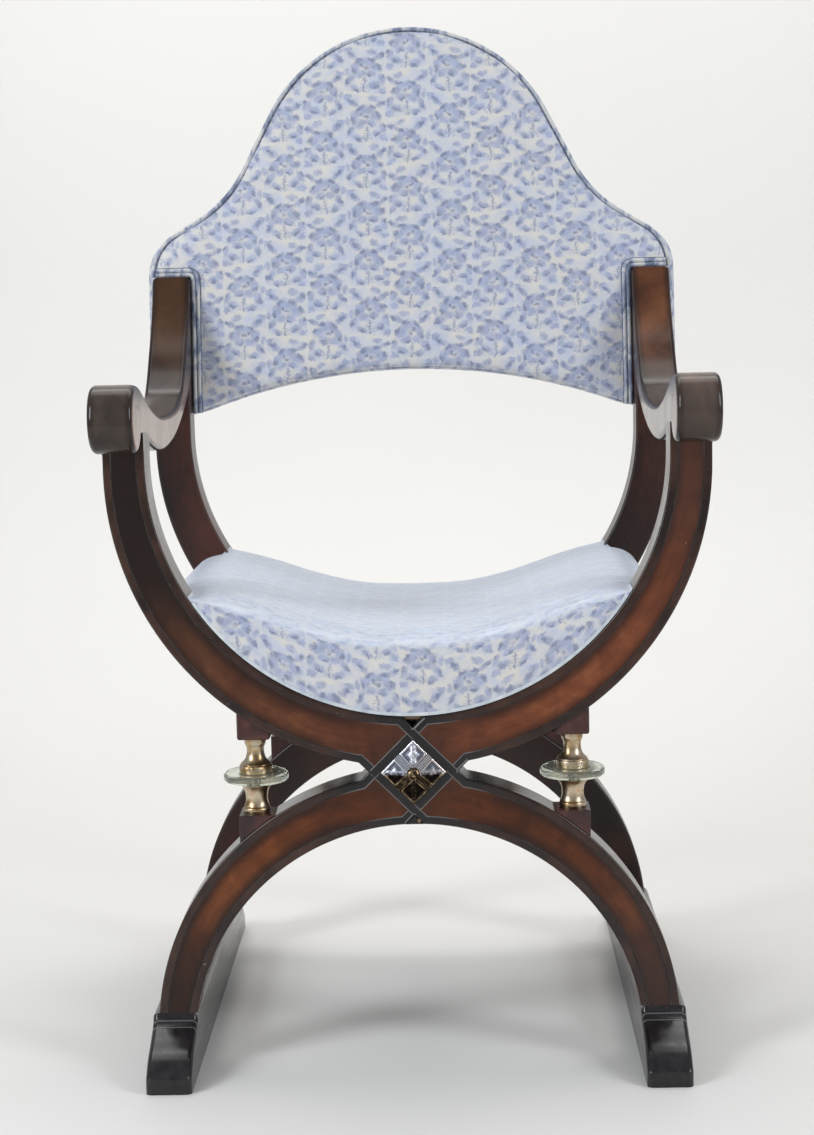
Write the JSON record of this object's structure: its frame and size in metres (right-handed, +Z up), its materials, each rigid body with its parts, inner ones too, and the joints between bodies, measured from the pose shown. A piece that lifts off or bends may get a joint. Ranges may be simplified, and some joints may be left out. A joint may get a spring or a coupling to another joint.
{
  "type": "savonarola chair",
  "caption": "Scissor-frame armchair: curved X-shaped frames on black runners, scrolled arms, saddle seat and an arched padded back, with glass-disc spindles.",
  "frame": {"origin": "on the floor, at the centre of the chair's bounding box", "axes": "+Z up, -Y towards the front of the seat, -X to the left as seen from the front"},
  "size_m": [0.622, 0.6219, 1.1154],
  "materials": {
    "front_mahogany": "french polished mahogany with black edge bands",
    "dark_mahogany": "dark polished mahogany",
    "black_lacquer_wood": "black polished wood",
    "plain_wood": "plain sanded wood",
    "block_mahogany": "polished mahogany",
    "aged_brass": "aged brass",
    "clear_glass": "clear bevelled glass",
    "screw_steel": "plain steel",
    "silvered_metal": "silvered bronze relief",
    "copper_gilt": "copper gilt",
    "printed_satin": "pale blue and grey woven satin with a leaf pattern",
    "grey_cloth": "plain grey cloth",
    "pale_gimp": "narrow pale gimp",
    "dark_cloth": "thin black cloth"
  },
  "bodies": {
    "root": {"arm_dowels": "plain_wood", "back_board": "plain_wood", "back_cover": "grey_cloth", "back_pad": "printed_satin", "back_piping": "grey_cloth", "back_screws": "screw_steel", "centre_stretcher": "plain_wood", "crossing_bolts": "screw_steel", "crossing_pin": "copper_gilt", "front_left_brass_bell": "aged_brass", "front_left_brass_cup": "aged_brass", "front_left_glass_disc": "clear_glass", "front_left_lower_block": "block_mahogany", "front_left_spindle_rod": "screw_steel", "front_left_upper_block": "block_mahogany", "front_right_brass_bell": "aged_brass", "front_right_brass_cup": "aged_brass", "front_right_glass_disc": "clear_glass", "front_right_lower_block": "block_mahogany", "front_right_spindle_rod": "screw_steel", "front_right_upper_block": "block_mahogany", "front_rosette": "silvered_metal", "front_scissor_left": "front_mahogany", "front_scissor_right": "front_mahogany", "left_arm": "dark_mahogany", "left_arm_block": "dark_mahogany", "left_double_welt": "grey_cloth", "left_runner": "black_lacquer_wood", "rear_bolt_cap": "block_mahogany", "rear_left_brass_bell": "aged_brass", "rear_left_brass_cup": "aged_brass", "rear_left_glass_disc": "clear_glass", "rear_left_lower_block": "block_mahogany", "rear_left_spindle_rod": "screw_steel", "rear_left_upper_block": "block_mahogany", "rear_right_brass_bell": "aged_brass", "rear_right_brass_cup": "aged_brass", "rear_right_glass_disc": "clear_glass", "rear_right_lower_block": "block_mahogany", "rear_right_spindle_rod": "screw_steel", "rear_right_upper_block": "block_mahogany", "rear_scissor_left": "dark_mahogany", "rear_scissor_right": "dark_mahogany", "right_arm": "dark_mahogany", "right_arm_block": "dark_mahogany", "right_double_welt": "grey_cloth", "right_runner": "black_lacquer_wood", "rosette_boss": "copper_gilt", "seat_board": "plain_wood", "seat_dust_cover": "dark_cloth", "seat_front_gimp": "pale_gimp", "seat_pad": "printed_satin", "seat_rear_gimp": "pale_gimp", "seat_screws": "screw_steel"}
  },
  "joints": []
}
